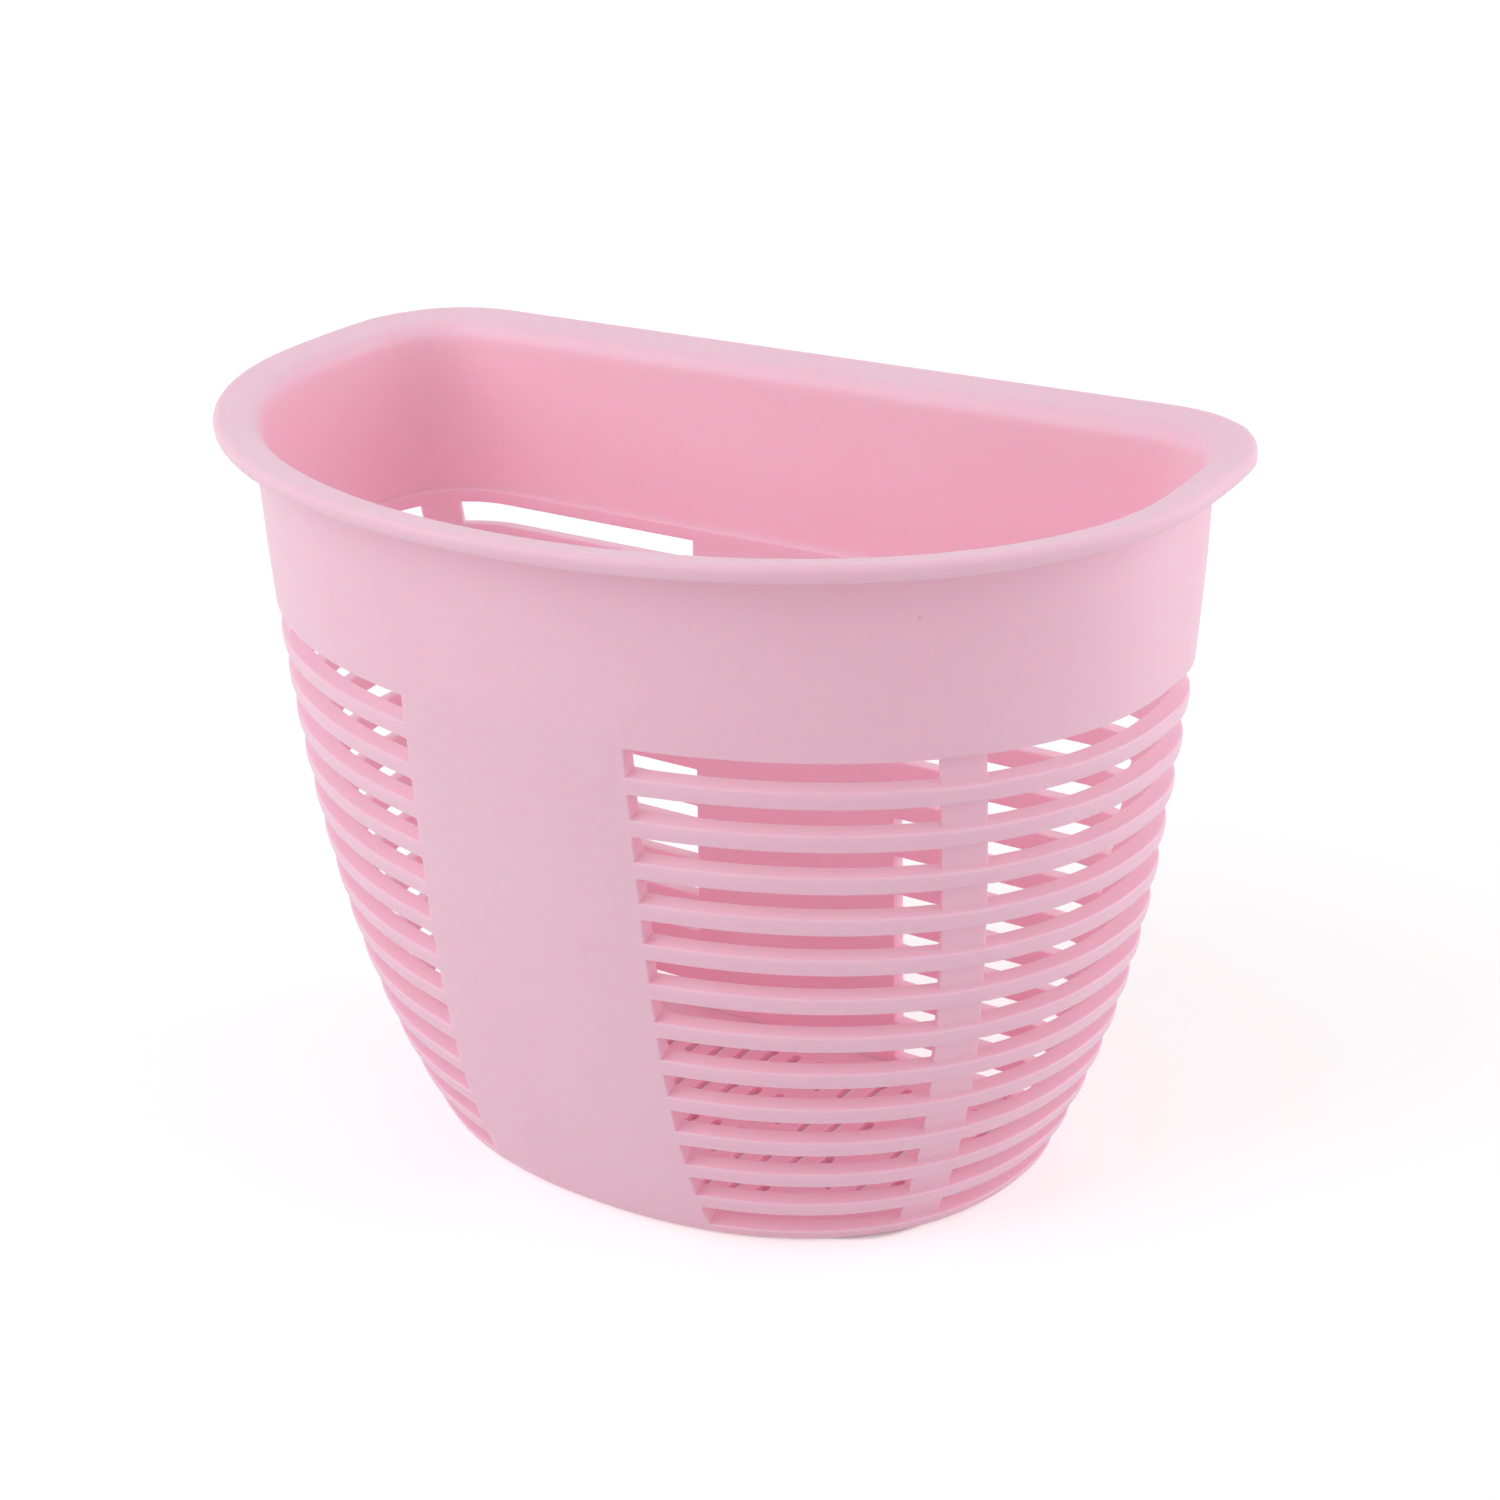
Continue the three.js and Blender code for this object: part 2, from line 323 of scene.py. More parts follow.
class BasketPlastic(bpy.types.PropertyGroup):
    """The moulded plastic: its colour, its sheen and its fine texture."""

    colour: FloatVectorProperty(
        name="Colour",
        description="The plastic's own colour",
        default=(0.99, 0.605, 0.725),
        size=3,
        subtype="COLOR",
    )
    flow_colour: FloatVectorProperty(
        name="Flow colour",
        description="Colour of the slight clouds that the melt leaves",
        default=(0.99, 0.62, 0.74),
        size=3,
        subtype="COLOR",
    )
    # Painted highlight: this lighter, paler pink is laid on sharp convex edges and stands for the light that
    # those edges catch.
    edge_highlight_colour: FloatVectorProperty(
        name="Edge highlight colour",
        description="Colour of the highlight painted on sharp edges",
        default=(0.97, 0.68, 0.77),
        size=3,
        subtype="COLOR",
    )
    speck_colour: FloatVectorProperty(
        name="Speck colour",
        description="Colour of stray pigment specks",
        default=(0.45, 0.2, 0.28),
        size=3,
        subtype="COLOR",
    )
    roughness: FloatProperty(
        name="Roughness", description="Roughness of the satin face", default=0.42, subtype="FACTOR"
    )
    scatter: FloatProperty(
        name="Scatter", description="How much light passes into the plastic", default=0.8, subtype="FACTOR"
    )
    scatter_reach: FloatProperty(
        name="Scatter reach",
        description="How far red light travels in the plastic",
        default=0.0015,
        unit="LENGTH",
    )
    grain: FloatProperty(
        name="Grain size", description="Size of the satin grain", default=0.0006, unit="LENGTH"
    )
    cloud: FloatProperty(
        name="Cloud size", description="Size of the melt's slight clouds", default=0.045, unit="LENGTH"
    )
    speck_pitch: FloatProperty(
        name="Speck pitch",
        description="Typical distance between possible specks",
        default=0.03,
        unit="LENGTH",
    )


class BasketStudio(bpy.types.PropertyGroup):
    """The floor, the lamps and the camera."""

    azimuth: FloatProperty(
        name="Azimuth",
        description="Camera's turn round the basket",
        default=math.radians(36.948),
        subtype="ANGLE",
    )
    elevation: FloatProperty(
        name="Elevation",
        description="Camera's height above level",
        default=math.radians(24.835),
        subtype="ANGLE",
    )
    roll: FloatProperty(
        name="Roll",
        description="Camera's turn about its line of sight",
        default=math.radians(-4.175),
        subtype="ANGLE",
    )
    distance: FloatProperty(
        name="Distance", description="From the camera to its target", default=0.6647, unit="LENGTH"
    )
    target: FloatVectorProperty(
        name="Target",
        description="Point that the camera looks at",
        default=(0.00826, 0.0174, 0.0921),
        size=3,
        unit="LENGTH",
    )
    lens: FloatProperty(
        name="Lens", description="Focal length in millimetres on a 36 mm sensor", default=68.76
    )
    sky: FloatProperty(
        name="Sky", description="Strength of the even light from all round", default=0.55
    )
    left_lamp: FloatProperty(
        name="Left lamp", description="Power of the large lamp at the left", default=9.2, unit="POWER"
    )
    right_lamp: FloatProperty(
        name="Right lamp", description="Power of the large lamp at the right", default=9.3, unit="POWER"
    )
    floor_colour: FloatVectorProperty(
        name="Floor colour",
        description="The studio floor's own colour",
        default=(0.8, 0.8, 0.8),
        size=3,
        subtype="COLOR",
    )
    near_lift: FloatProperty(
        name="Near lift",
        description="White added to the floor near the basket, as the camera sees it",
        default=0.39,
    )
    far_lift: FloatProperty(
        name="Far lift", description="White added to the floor where the lamps hardly reach it", default=0.62
    )
    near_radius: FloatProperty(
        name="Near radius",
        description="How far from the basket the near lift holds",
        default=0.35,
        unit="LENGTH",
    )
    far_radius: FloatProperty(
        name="Far radius",
        description="How far from the basket the far lift starts",
        default=1.6,
        unit="LENGTH",
    )
    bounces: IntProperty(
        name="Bounces",
        description="How often light may bounce, which keeps the pink warm inside the basket",
        default=16,
    )
    covered_lift: FloatProperty(
        name="Covered lift",
        description="Share of the added white that is left under the basket",
        default=0.25,
        subtype="FACTOR",
    )
    footprint: FloatVectorProperty(
        name="Footprint",
        description="Half sizes of the patch of floor that the basket covers, and 1 for its height",
        default=(0.0707, 0.0372, 1),
        size=3,
    )
    footprint_middle: FloatVectorProperty(
        name="Footprint middle",
        description="Middle of that patch",
        default=(0, 0.005, 0),
        size=3,
        unit="LENGTH",
    )
    floor_size: FloatProperty(
        name="Floor size", description="Width of the studio floor", default=12.0, unit="LENGTH"
    )


# The outline of the wall at one height

FRONT_STEPS = 160
SIDE_STEPS = 40
CORNER_STEPS = 60
HALVINGS = 40

# Stretches of the half outline from front to back: what each holds and how many columns of faces it has
STRETCHES = (
    ("panel", 7),
    ("window", 15),
    ("upright", 2),
    ("window", 14),
    ("upright", 3),
    ("window", 18),
    ("panel", 5),
)

Spot = namedtuple("Spot", "point outward")


def middle_shift(outline):
    """How far the widest line lies behind the middle of the basket's box."""
    return (outline.front_reach - outline.back_reach) / 2


def top_of_slots(outline, wall):
    """The height at which the first slot ends and the solid band starts."""
    return outline.height - wall.band_depth


def ellipse_normal(half_width, depth, angle):
    """The outward direction at an angle of an ellipse."""
    return Vector((math.cos(angle) / half_width, math.sin(angle) / depth)).normalized()


def half_outline(outline, z):
    """Points along the right half of the wall's outer face at a height, from the front to the back."""
    drop = (outline.height - z) / outline.height
    side = outline.side_draft * drop + outline.side_taper * drop**outline.side_taper_power
    front_in = outline.front_draft * drop + outline.front_taper * drop**outline.front_taper_power
    half_width = outline.rim_width / 2 - outline.overhang - side
    front = outline.front_reach - outline.overhang - front_in
    back = outline.back_reach - outline.overhang - outline.back_taper * drop
    depth = half_width * outline.side_depth_share
    corner = min(outline.corner_radius + outline.corner_growth * drop, back * outline.corner_limit_share)
    power = 2 + outline.front_squareness * drop

    points = []
    for step in range(FRONT_STEPS + 1):
        angle = math.pi / 2 * (1 - step / FRONT_STEPS)
        x = half_width * max(math.cos(angle), 0) ** (2 / power)
        points.append(Vector((x, -front * math.sin(angle) ** (2 / power))))
    points[0].x = 0

    low, high = 0, math.pi / 2
    for _ in range(HALVINGS):
        end = (low + high) / 2
        normal = ellipse_normal(half_width, depth, end)
        if depth * math.sin(end) - corner * normal.y < back - corner:
            low = end
        else:
            high = end
    for step in range(1, SIDE_STEPS + 1):
        angle = end * step / SIDE_STEPS
        points.append(Vector((half_width * math.cos(angle), depth * math.sin(angle))))

    centre = points[-1] - corner * normal
    first = math.atan2(normal.y, normal.x)
    for step in range(1, CORNER_STEPS + 1):
        angle = first + (math.pi / 2 - first) * step / CORNER_STEPS
        points.append(centre + corner * Vector((math.cos(angle), math.sin(angle))))
    points.append(Vector((0, points[-1].y)))
    return points


def where(values, limit):
    """The index and share at which a rising run of values passes a limit."""
    index = min(max(bisect_left(values, limit), 1), len(values) - 1)
    span = values[index] - values[index - 1]
    return index, (limit - values[index - 1]) / span if span else 0


class Level:
    """One height of the wall, with a spot on its outer face for each column of the moulding."""

    def __init__(self, outline, wall, z):
        self.points = half_outline(outline, z)
        self.lengths = [0]
        for near, far in zip(self.points, self.points[1:]):
            self.lengths.append(self.lengths[-1] + (far - near).length)
        slot_top = top_of_slots(outline, wall)
        flare = wall.panel_flare * (slot_top - z) / slot_top
        stile = self.crossing(outline.rim_width / 2, -outline.front_reach * wall.stile_front_share)
        post = self.crossing(outline.rim_width / 2, outline.back_reach * wall.post_back_share)
        end = self.lengths[-1]
        marks = [
            0,
            self.front_length(wall.front_panel / 2 + flare),
            stile - wall.stile_width / 2,
            stile + wall.stile_width / 2,
            post - wall.post_width / 2,
            post + wall.post_width / 2,
            end - wall.back_panel / 2 - flare,
            end,
        ]
        places = column_places(marks, wall.edge)
        spots = [self.spot(place) for place in places]
        mirrored = [mirror(spot) for spot in spots[-2:0:-1]]
        self.spots = spots + mirrored
        panel_edges = (marks[1], marks[-2])
        gaps = [min(abs(place - mark) for mark in panel_edges) for place in places]
        fades = [smooth(gap / wall.crown_run) for gap in gaps]
        self.fades = fades + fades[-2:0:-1]

    def front_length(self, x):
        """The length along the front at which the outline is x from the middle."""
        index, share = where([p.x for p in self.points[: FRONT_STEPS + 1]], x)
        return self.lengths[index - 1] + share * (self.lengths[index] - self.lengths[index - 1])

    def crossing(self, x, y):
        """The length at which the outline crosses a line from the middle towards (x, y)."""
        sides = [x * p.y - y * p.x for p in self.points]
        index = next(i for i, side in enumerate(sides) if i and side >= 0 and sides[i - 1] < 0)
        share = sides[index - 1] / (sides[index - 1] - sides[index])
        return self.lengths[index - 1] + share * (self.lengths[index] - self.lengths[index - 1])

    def spot(self, length):
        """The point at a length along the outline, with the direction out of the wall."""
        index, share = where(self.lengths, length)
        near, far = self.points[index - 1], self.points[index]
        before = self.tangent(index - 1)
        after = self.tangent(index)
        along = before.lerp(after, share).normalized()
        return Spot(near.lerp(far, share), Vector((along.y, -along.x)))

    def tangent(self, index):
        """The direction of the outline at one of its points. The ends run level with X."""
        if index == 0:
            return Vector((1, 0))
        if index == len(self.points) - 1:
            return Vector((-1, 0))
        return (self.points[index + 1] - self.points[index - 1]).normalized()


def mirror(spot):
    """A spot on the left half, from its twin on the right."""
    return Spot(Vector((-spot.point.x, spot.point.y)), Vector((-spot.outward.x, spot.outward.y)))


def smooth(share):
    """An even rise from 0 to 1."""
    share = min(max(share, 0), 1)
    return share * share * (3 - 2 * share)


def column_places(marks, edge):
    """Lengths along the half outline where columns stand: at each mark, close to it, and evenly between."""
    places = [marks[0]]
    last = len(STRETCHES) - 1
    for number, (_, count) in enumerate(STRETCHES):
        start, end = marks[number], marks[number + 1]
        inner_start = start + edge if number else start
        inner_end = end - edge if number < last else end
        for step in range(1 if number == 0 else 0, count + 1):
            places.append(inner_start + (inner_end - inner_start) * step / count)
        if number < last:
            places.append(end)
    return places


def column_kinds():
    """What each column of points stands in, right round the basket. A mark belongs to the solid beside it."""
    last = len(STRETCHES) - 1
    kinds = [STRETCHES[0][0]]
    for number, (kind, count) in enumerate(STRETCHES):
        kinds += [kind] * (count if number == 0 else count + 1)
        if number < last:
            after = STRETCHES[number + 1][0]
            kinds.append(after if kind == "window" else kind)
    return kinds + kinds[-2:0:-1]


# The moulding, as rows of points round the basket

ARC_STEPS = 4
MOUTH_STEPS = 6
BAND_STEPS = 6
LINING_STEPS = 5

# How far the rows in a slot stand from its ends, as shares of the edge softness
SLOT_ROW_SHARES = (1 / 3, 2)

# A row's height, its insets in panels, windows (none if open) and uprights, and the height of its outline
Row = namedtuple("Row", "z panel window upright level")


def even_row(z, inset, level=None):
    """A row at one inset right round the basket."""
    return Row(z, inset, inset, inset, z if level is None else level)


def arc(centre_inset, centre_z, radius, first, last, steps=ARC_STEPS):
    """Insets and heights along an arc, where an angle of 0 points into the basket."""
    for step in range(steps + 1):
        angle = first + (last - first) * step / steps
        yield centre_inset + radius * math.cos(angle), centre_z + radius * math.sin(angle)


def slotted_rows(outline, wall):
    """Rows of the slotted wall's outer face, from the base hoop to the band, and their heights inside."""
    slot_top = top_of_slots(outline, wall)
    first_rib = slot_top - wall.first_slot
    pitch = (first_rib - wall.base_hoop) / (wall.slot_count - 1)
    rib_tops = [first_rib - pitch * number for number in range(wall.slot_count - 1)]
    shares = (0, wall.edge / wall.rib_height, 0.5, 1 - wall.edge / wall.rib_height, 1)
    draft = wall.rib_draft
    rows = [even_row(wall.base_hoop, 0)]
    inside = [wall.base_hoop + draft]

    def add_slot(low, high):
        rows.extend(Row(z, 0, None, wall.upright_recess, z) for z in slot_heights(low, high, wall.edge))
        inside.extend(slot_heights(low + draft, high - draft, wall.edge))

    below = wall.base_hoop
    for top in reversed(rib_tops):
        bottom = top - wall.rib_height
        add_slot(below, bottom)
        for share in shares:
            z = bottom + share * wall.rib_height
            crown = wall.rib_crown * (2 * share - 1) ** 2
            rows.append(Row(z, 0, crown, crown, z))
            inside.append(z + draft * (2 * share - 1))
        below = top
    add_slot(below, slot_top)
    rows.append(even_row(slot_top, 0))
    inside.append(slot_top - draft)
    return rows, inside


def slot_heights(low, high, edge):
    """Heights of the rows in a slot, gathered at its two ends so that its corners stay crisp."""
    near, far = (edge * share for share in SLOT_ROW_SHARES)
    return [low + near, low + far, high - far, high - near]


def backing(row, z, thickness):
    """The inner face's row behind a row of the outer face, at a height of its own."""
    made = even_row(z, thickness, row.level)
    return made if row.window is not None else made._replace(window=None)


def base_rows(wall):
    """Rows of the lower edge, from the bottom face up to just under the base hoop's top."""
    edge = wall.base_edge
    turn = [even_row(z, inset) for inset, z in arc(edge, edge, edge, 1.5 * math.pi, math.pi)]
    return [even_row(0, 2 * edge), *turn, even_row(wall.base_hoop - wall.edge, 0)]


def rim_rows(outline, wall, rim):
    """Rows from the band's outer face out under the rim, round the lip and back to the band's inner face."""
    rise = math.tan(rim.slope)
    upright = math.pi / 2 - rim.slope
    top = outline.height
    lip = rim.lip_radius - outline.overhang

    def upper(inset):
        return top - (inset - lip) * rise

    root_z = upper(-rim.root_radius) - rim.lip_height - rim.root_radius / math.cos(rim.slope)
    mouth = wall.band_thickness - rim.mouth_radius
    mouth_z = upper(mouth) - rim.mouth_radius / math.cos(rim.slope)
    lip_low = top - rim.lip_height + rim.lip_radius
    crease = lip + rim.lip_radius
    outside = [
        (0, root_z - 2 * rim.root_radius),
        *arc(-rim.root_radius, root_z, rim.root_radius, 0, upright),
    ]
    edge = [
        (lip + rim.lip_radius, upper(lip + rim.lip_radius) - rim.lip_height),
        *arc(lip, lip_low, rim.lip_radius, -math.pi / 2, -math.pi),
        *arc(lip, top - rim.lip_radius, rim.lip_radius, math.pi, math.pi / 2),
        (crease - rim.crease_width / 2, upper(crease - rim.crease_width / 2)),
        (crease, upper(crease) - rim.crease_depth),
        (crease + rim.crease_width / 2, upper(crease + rim.crease_width / 2)),
    ]
    inside = [
        (mouth - rim.mouth_radius / 2, upper(mouth - rim.mouth_radius / 2)),
        *arc(mouth, mouth_z, rim.mouth_radius, upright, 0, MOUTH_STEPS),
        (wall.band_thickness, mouth_z - rim.mouth_radius),
    ]
    return [
        *(even_row(z, inset) for inset, z in outside),
        *(even_row(z, inset, top) for inset, z in edge),
        *(even_row(z, inset) for inset, z in inside),
    ]


def spread(first, last, count):
    """Numbers evenly between two others, without those two."""
    return [first + (last - first) * step / (count + 1) for step in range(1, count + 1)]


def ledge_rows(outline, wall):
    """Rows down the band's inner face and over the ledge, where the wall turns thicker."""
    slot_top = top_of_slots(outline, wall)
    ledge = slot_top + wall.ledge_height
    thin, thick, edge = wall.band_thickness, wall.thickness, wall.edge
    return [
        even_row(ledge + edge, thin),
        even_row(ledge, thin),
        even_row(ledge, thin + edge),
        even_row(ledge, thick - edge),
        even_row(ledge, thick),
        even_row(ledge - edge, thick),
        even_row(slot_top + edge, thick),
    ]


class Moulding:
    """The mesh of the basket's wall and rim."""

    def __init__(self, outline, wall, rim):
        self.outline = outline
        self.wall = wall
        self.kinds = column_kinds()
        self.levels = {}
        self.points = []
        self.faces = []
        self.shift = middle_shift(outline)

        outer, heights = slotted_rows(outline, wall)
        inner = [backing(row, z, wall.thickness) for row, z in zip(outer, heights)]
        below = base_rows(wall)
        rim_part = rim_rows(outline, wall, rim)
        band_low, root = outer[-1].z + wall.edge, rim_part[0].z
        band = [even_row(z, 0) for z in (band_low, *spread(band_low, root, BAND_STEPS))]
        ledge = ledge_rows(outline, wall)
        lining = [even_row(z, wall.band_thickness) for z in spread(rim_part[-1].z, ledge[0].z, LINING_STEPS)]
        foot = [
            even_row(wall.base_hoop - wall.edge, wall.thickness),
            even_row(wall.edge, wall.thickness),
            even_row(0, wall.thickness - wall.edge),
        ]
        rows = [*below, *outer, *band, *rim_part, *lining, *ledge, *reversed(inner), *foot]

        grid = [self.add_row(row) for row in rows]
        for near, far in zip(grid, grid[1:] + grid[:1]):
            self.add_strip(near, far)
        outer_grid = grid[len(below) : len(below) + len(outer)]
        inner_grid = grid[-len(foot) - len(outer) : -len(foot)][::-1]
        self.line_windows(outer, inner, outer_grid, inner_grid)

    def level(self, z):
        """The level at a height, made once."""
        if z not in self.levels:
            self.levels[z] = Level(self.outline, self.wall, z)
        return self.levels[z]

    def add_point(self, level, column, inset, z):
        """Adds a point behind the wall's outer face and returns its number."""
        spot = level.spots[column]
        place = spot.point - spot.outward * inset
        self.points.append((place.x, place.y + self.shift, z))
        return len(self.points) - 1

    def inset(self, row, column):
        """How far a row's point lies behind the outer face, or none in an open window."""
        kind = self.kinds[column]
        if kind == "panel":
            return row.panel
        inset = row.window if kind == "window" else row.upright
        if inset is None or row.window is None or row.window == row.panel:
            return inset
        return row.panel + (inset - row.panel) * self.level(row.level).fades[column]

    def add_row(self, row):
        """Adds a row's points and returns their numbers, with none where a window is open."""
        level = self.level(row.level)
        insets = [self.inset(row, column) for column in range(len(self.kinds))]
        return [
            None if inset is None else self.add_point(level, column, inset, row.z)
            for column, inset in enumerate(insets)
        ]

    def add_strip(self, near, far):
        """Adds the faces between two rows, wherever all four corners are there."""
        for column in range(len(near)):
            after = (column + 1) % len(near)
            face = (near[column], near[after], far[after], far[column])
            if None not in face:
                self.faces.append(face)

    def between(self, row, behind, column):
        """Adds the points between a row's point and the one behind it, and gives their numbers."""
        start, end = self.inset(row, column), self.wall.thickness
        rise = (behind.z - row.z) / (end - start)
        for inset in (start + self.wall.edge, end - self.wall.edge):
            yield self.add_point(self.level(row.z), column, inset, row.z + rise * (inset - start))

    def line_windows(self, outer, inner, outer_grid, inner_grid):
        """Adds the walls of the windows, from each open edge of the outer face in to the inner face."""
        place = {
            number: (r, c)
            for r, numbers in enumerate(outer_grid)
            for c, number in enumerate(numbers)
            if number is not None
        }
        edges = {(a, b) for face in self.faces for a, b in zip(face, face[1:] + face[:1])}
        chains = {}

        def chain(number):
            if number not in chains:
                r, c = place[number]
                chains[number] = [number, *self.between(outer[r], inner[r], c), inner_grid[r][c]]
            return chains[number]

        for a, b in sorted(edges):
            if a in place and b in place and (b, a) not in edges:
                first, second = chain(a), chain(b)
                for step in range(len(first) - 1):
                    self.faces.append((second[step], first[step], first[step + 1], second[step + 1]))


def new_mesh(name, points, faces):
    """A mesh object with smooth faces, linked to the scene."""
    mesh = bpy.data.meshes.new(name)
    mesh.from_pydata(points, [], faces)
    mesh.validate()
    mesh.shade_smooth()
    made = bpy.data.objects.new(name, mesh)
    bpy.context.scene.collection.objects.link(made)
    return made


# Shaders


class Wire:
    """A shader socket that takes part in Python expressions, which add Math nodes."""

    def __init__(self, board, socket):
        self.board = board
        self.socket = socket

    def maths(self, operation, first, second):
        """A Math node on two operands, each a wire or a number."""
        return self.board.node("Math", {"operation": operation}, {0: first, 1: second})

    def __add__(self, other):
        return self.maths("ADD", self, other)

    def __sub__(self, other):
        return self.maths("SUBTRACT", self, other)

    def __rsub__(self, other):
        return self.maths("SUBTRACT", other, self)

    def __mul__(self, other):
        return self.maths("MULTIPLY", self, other)

    def __gt__(self, other):
        return self.maths("GREATER_THAN", self, other)

    def __lt__(self, other):
        return self.maths("LESS_THAN", self, other)

    __radd__ = __add__
    __rmul__ = __mul__


class Board:
    """The node tree of a material or a world."""

    def __init__(self, owner):
        owner.use_nodes = True
        self.tree = owner.node_tree
        self.tree.nodes.clear()

    def node(self, kind, settings=None, sockets=None, output=0):
        """Adds a node, sets its settings and then its sockets, and returns one of its outputs as a wire."""
        made = self.tree.nodes.new("ShaderNode" + kind)
        for name, value in (settings or {}).items():
            if name == "stops":
                for element, (position, level) in zip(made.color_ramp.elements, value):
                    element.position = position
                    element.color = (level, level, level, 1)
            else:
                setattr(made, name, value)
        for key, value in (sockets or {}).items():
            if isinstance(value, Wire):
                self.tree.links.new(value.socket, made.inputs[key])
            else:
                made.inputs[key].default_value = value
        return Wire(self, made.outputs[output]) if made.outputs else made

    def mix_colour(self, factor, first, second):
        """A colour between two others."""
        return self.node("Mix", {"data_type": "RGBA"}, {0: factor, 6: first, 7: second}, output=2)


def opaque(colour):
    """A colour with a full fourth channel."""
    return (*colour, 1)


# The plastic's ramps, sizes as shares of the cloud size or the speck pitch, and strengths of its effects
CLOUD_STOPS = ((0.35, 0), (0.65, 1))
# The edge ramp, patch size and amount below paint a highlight on sharp edges. The edge roughness makes those
# same edges a little rougher.
EDGE_HIGHLIGHT_STOPS = ((0.51, 0), (0.6, 1))
EDGE_HIGHLIGHT_SIZE_SHARE = 1 / 8
RIPPLE_SIZE_SHARE = 1 / 3
SPECK_SIZE_SHARE = 0.012
SPECK_RARITY = 0.55
SPECK_AMOUNT = 0.4
EDGE_HIGHLIGHT_AMOUNT = 0.5
NOISE_MIDDLE = 0.5
RIPPLE_WEIGHT = 2
BUMP_STRENGTH = 0.12
BUMP_DEPTH = 0.0004
GRAIN_ROUGHNESS = 0.12
EDGE_HIGHLIGHT_ROUGHNESS = 0.1
PLASTIC_IOR = 1.49
GREEN_REACH_SHARE = 0.4
BLUE_REACH_SHARE = 0.6

# Where the covered patch of floor ends and the open floor starts, as squared shares of its half sizes
PATCH_EDGE_SHARES = (0.99, 1.03)


def moulded_plastic(plastic):
    """Satin pink plastic: slight clouds, fine grain, a few pigment specks and a painted highlight on sharp
    edges.
    """
    material = bpy.data.materials.new("moulded_plastic")
    board = Board(material)
    spot = board.node("TexCoord", output="Object")

    def noise(size, detail):
        return board.node("TexNoise", {}, {"Vector": spot, "Scale": 1 / size, "Detail": detail})

    clouds = board.node("ValToRGB", {"stops": CLOUD_STOPS}, {0: noise(plastic.cloud, detail=2)})
    colour = board.mix_colour(clouds, opaque(plastic.colour), opaque(plastic.flow_colour))

    # Painted highlight: sharp convex edges turn a lighter, paler pink in patches, standing in for the light
    # that those edges catch.
    edges = board.node("NewGeometry", output="Pointiness")
    highlight_edges = board.node("ValToRGB", {"stops": EDGE_HIGHLIGHT_STOPS}, {0: edges})
    edge_highlight = highlight_edges * noise(plastic.cloud * EDGE_HIGHLIGHT_SIZE_SHARE, detail=3)
    colour = board.mix_colour(edge_highlight * EDGE_HIGHLIGHT_AMOUNT, colour, opaque(plastic.edge_highlight_colour))

    cells = {"Vector": spot, "Scale": 1 / plastic.speck_pitch}
    nearness = board.node("TexVoronoi", {}, cells, output="Distance")
    chance = board.node("SeparateColor", {}, {0: board.node("TexVoronoi", {}, cells, output="Color")})
    specks = (nearness < SPECK_SIZE_SHARE) * (chance > SPECK_RARITY)
    colour = board.mix_colour(specks * SPECK_AMOUNT, colour, opaque(plastic.speck_colour))

    grain = noise(plastic.grain, detail=2)
    height = grain + RIPPLE_WEIGHT * noise(plastic.cloud * RIPPLE_SIZE_SHARE, detail=1)
    bump = board.node("Bump", {}, {"Strength": BUMP_STRENGTH, "Distance": BUMP_DEPTH, "Height": height})
    # The edges under the painted highlight are also made a little rougher.
    sheen = plastic.roughness + (grain - NOISE_MIDDLE) * GRAIN_ROUGHNESS + edge_highlight * EDGE_HIGHLIGHT_ROUGHNESS
    reach = plastic.scatter_reach
    shader = board.node(
        "BsdfPrincipled",
        {},
        {
            "Base Color": colour,
            "Roughness": sheen,
            "Normal": bump,
            "IOR": PLASTIC_IOR,
            "Subsurface Weight": plastic.scatter,
            "Subsurface Radius": (reach, reach * GREEN_REACH_SHARE, reach * BLUE_REACH_SHARE),
            "Subsurface Scale": 1.0,
        },
    )
    board.node("OutputMaterial", {}, {"Surface": shader})
    return material


def seen_white(board):
    """1 for rays that should meet a white backdrop: those of the camera, gloss and transmission."""
    names = ("Is Camera Ray", "Is Glossy Ray", "Is Transmission Ray")
    rays = [board.node("LightPath", output=name) for name in names]
    return board.node("Math", {"operation": "ADD", "use_clamp": True}, {0: rays[0] + rays[1], 1: rays[2]})


def studio_floor(studio):
    """Pale floor that renders white but keeps the basket's shadow."""
    material = bpy.data.materials.new("studio_floor")
    board = Board(material)
    plain = board.node("BsdfDiffuse", {}, {"Color": opaque(studio.floor_colour)})
    spot = board.node("TexCoord", output="Object")
    reach = board.node("VectorMath", {"operation": "LENGTH"}, {0: spot}, output="Value")
    ends = (studio.near_radius, studio.far_radius, studio.near_lift, studio.far_lift)
    white = board.node("MapRange", {}, {0: reach, **dict(enumerate(ends, 1))})
    aside = board.node("VectorMath", {"operation": "SUBTRACT"}, {0: spot, 1: studio.footprint_middle})
    share = board.node("VectorMath", {"operation": "DIVIDE"}, {0: aside, 1: studio.footprint})
    squared = board.node("VectorMath", {"operation": "MULTIPLY"}, {0: share, 1: share})
    outside = board.node("VectorMath", {"operation": "LENGTH"}, {0: squared}, output="Value")
    fade = (*PATCH_EDGE_SHARES, studio.covered_lift)
    uncovered = board.node("MapRange", {}, {0: outside, **dict(enumerate(fade, 1))})
    lift = board.node("Emission", {}, {"Color": white * uncovered})
    lifted = board.node("AddShader", {}, {0: plain, 1: lift})
    shader = board.node("MixShader", {}, {0: seen_white(board), 1: plain, 2: lifted})
    board.node("OutputMaterial", {}, {"Surface": shader})
    return material


# Operators

